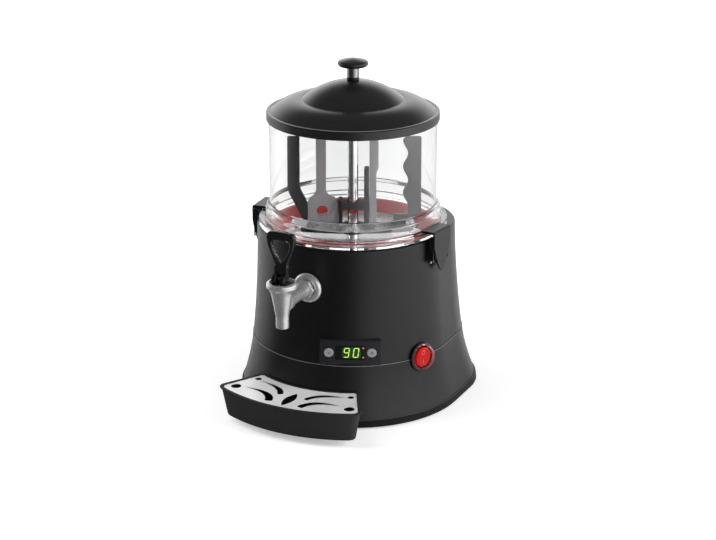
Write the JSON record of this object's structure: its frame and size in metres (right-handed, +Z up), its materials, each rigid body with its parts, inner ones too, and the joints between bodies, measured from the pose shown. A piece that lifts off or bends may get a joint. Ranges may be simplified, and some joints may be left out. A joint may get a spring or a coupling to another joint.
{
  "type": "hot chocolate dispenser",
  "caption": "Counter-top hot drink dispenser: heated base, clear stirred bowl under a domed lid, lever tap and curved drip tray.",
  "frame": {"origin": "on the floor under the feet, in the middle of the area the machine and its tray cover", "axes": "+Z up along the bowl's axis, -Y to the front towards the tap and tray, +X to the right seen from the front"},
  "size_m": [0.314, 0.3802, 0.4673],
  "materials": {
    "body_black": "satin moulded",
    "rubber_black": "matte",
    "pan_steel": "spun stainless",
    "gasket_red": "satin silicone",
    "plated_steel": "zinc plated",
    "bronze": "turned",
    "polished_steel": "polished",
    "bowl_clear": "clear polished",
    "stirrer_black": "satin moulded",
    "stirrer_grey": "satin moulded",
    "lid_black": "semi-gloss moulded",
    "tap_metal": "satin nickel",
    "handle_black": "semi-gloss moulded",
    "panel_black": "semi-gloss moulded",
    "window_smoked": "smoked polished",
    "button_grey": "satin moulded",
    "board_green": "lacquered laminate",
    "rocker_red": "translucent polished",
    "boot_clear": "clear flexible",
    "tray_black": "satin moulded",
    "grate_steel": "brushed stainless"
  },
  "bodies": {
    "machine": {"base_plate": "body_black", "lower_skirt": "body_black", "upper_housing": "body_black", "foot_front_left": "rubber_black", "foot_front_right": "rubber_black", "foot_rear_left": "rubber_black", "foot_rear_right": "rubber_black", "cord_gland": "rubber_black", "heating_pan": "pan_steel", "pan_gasket": "gasket_red", "bath_tank": "pan_steel", "heater_ring": "plated_steel", "thermal_probe": "bronze", "outlet_pipe": "pan_steel", "shaft_tube": "polished_steel", "lower_bush": "bronze", "upper_bush": "bronze", "gearbox": "plated_steel", "motor": "plated_steel", "motor_bracket": "plated_steel", "bowl": "bowl_clear", "tap_flange": "tap_metal", "tap_shank_nut": "bronze", "tap_body": "tap_metal", "tap_bonnet": "body_black", "tap_spring": "polished_steel", "display_bezel": "panel_black", "display_window": "window_smoked", "display_module": "panel_black", "control_board": "board_green", "switch_body": "panel_black", "switch_boot": "boot_clear", "clip_bracket_left": "body_black", "clip_pin_left": "polished_steel", "clip_bracket_right": "body_black", "clip_pin_right": "polished_steel"},
    "stirrer": {"stirrer_hub": "stirrer_black", "stirrer_wing": "stirrer_grey", "stirrer_strip": "stirrer_grey", "stirrer_plain_blade": "stirrer_black", "stirrer_wavy_blade": "stirrer_black", "stirrer_cap": "stirrer_black", "drive_shaft": "polished_steel"},
    "lid": {"lid": "lid_black", "knob_ferrule": "body_black", "knob_stem": "polished_steel", "knob": "lid_black", "knob_screw": "plated_steel"},
    "tap_plunger": {"tap_stem": "polished_steel", "handle_pin": "polished_steel"},
    "tap_lever": {"tap_handle": "handle_black"},
    "left_button": {"button_left": "button_grey"},
    "right_button": {"button_right": "button_grey"},
    "rocker": {"power_rocker": "rocker_red"},
    "left_clip": {"clip_left": "body_black"},
    "right_clip": {"clip_right": "body_black"},
    "tray": {"drip_tray": "tray_black"},
    "grate": {"tray_grate": "grate_steel"}
  },
  "joints": [
    {"name": "lid_lift", "type": "slide", "parent": "machine", "child": "lid", "axis": [0, 0, 1], "range_m": [0, 0.08]},
    {"name": "stirrer_spin", "type": "hinge", "parent": "machine", "child": "stirrer", "pos_m": [0, 0.0313, 0.3075], "axis": [0, 0, 1], "continuous": true},
    {"name": "stem_lift", "type": "slide", "parent": "machine", "child": "tap_plunger", "axis": [0, 0, 1], "range_m": [0, 0.00349], "stiffness_N_per_m": 800, "springref_m": -0.004, "deforming": ["tap_spring"]},
    {"name": "handle_tilt", "type": "hinge", "parent": "tap_plunger", "child": "tap_lever", "pos_m": [0, -0.1717, 0.2225], "axis": [1, 0, 0], "range_deg": [0, 40]},
    {"name": "left_button_press", "type": "slide", "parent": "machine", "child": "left_button", "axis": [-0.4226, 0.9063, 0], "range_m": [0, 0.0008], "stiffness_N_per_m": 1000, "springref_m": -0.0005},
    {"name": "right_button_press", "type": "slide", "parent": "machine", "child": "right_button", "axis": [-0.4226, 0.9063, 0], "range_m": [0, 0.0008], "stiffness_N_per_m": 1000, "springref_m": -0.0005},
    {"name": "rocker_tilt", "type": "hinge", "parent": "machine", "child": "rocker", "pos_m": [0.12916, -0.02141, 0.0835], "axis": [0.3778, 0.9259, 0], "range_deg": [-12, 0]},
    {"name": "left_clip_swing", "type": "hinge", "parent": "machine", "child": "left_clip", "pos_m": [-0.13423, 0.01719, 0.2125], "axis": [0.1045, -0.9945, 0], "range_deg": [0, 28]},
    {"name": "right_clip_swing", "type": "hinge", "parent": "machine", "child": "right_clip", "pos_m": [0.13423, 0.01719, 0.2125], "axis": [0.1045, 0.9945, 0], "range_deg": [0, 28]},
    {"name": "tray_pull", "type": "slide", "parent": "machine", "child": "tray", "axis": [0, -1, 0], "range_m": [0, 0.08]},
    {"name": "grate_lift", "type": "slide", "parent": "tray", "child": "grate", "axis": [0, 0, 1], "range_m": [0, 0.08]}
  ],
  "couplings": [
    {"joint": "handle_tilt", "follows": "stem_lift", "rad_per_m": 200}
  ]
}
